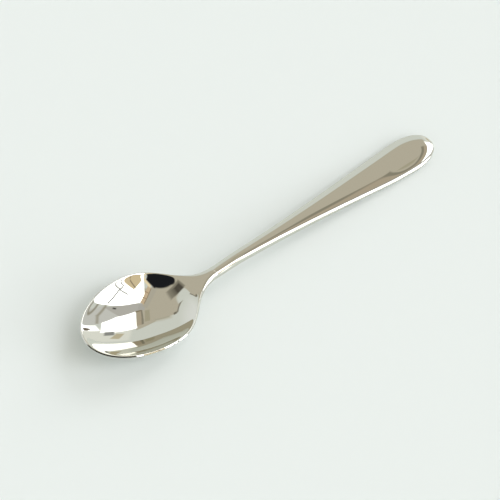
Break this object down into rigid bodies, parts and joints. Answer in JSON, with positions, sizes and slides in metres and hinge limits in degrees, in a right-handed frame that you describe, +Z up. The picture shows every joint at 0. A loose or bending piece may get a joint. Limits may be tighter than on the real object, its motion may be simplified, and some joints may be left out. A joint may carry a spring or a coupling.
{
  "type": "teaspoon",
  "caption": "One-piece stainless steel teaspoon with an egg-shaped bowl, a slim oval neck and a plain handle that widens to a rounded end.",
  "frame": {"origin": "on the table, under the middle of the spoon's length and width", "axes": "+X from the tip of the bowl to the end of the handle, +Y across the bowl, +Z up, with the hollow of the bowl facing up"},
  "size_m": [0.14, 0.0302, 0.0122],
  "materials": {
    "steel": "mirror-polished stainless steel"
  },
  "bodies": {
    "root": {"bowl": "steel", "neck": "steel", "handle": "steel"}
  },
  "joints": []
}
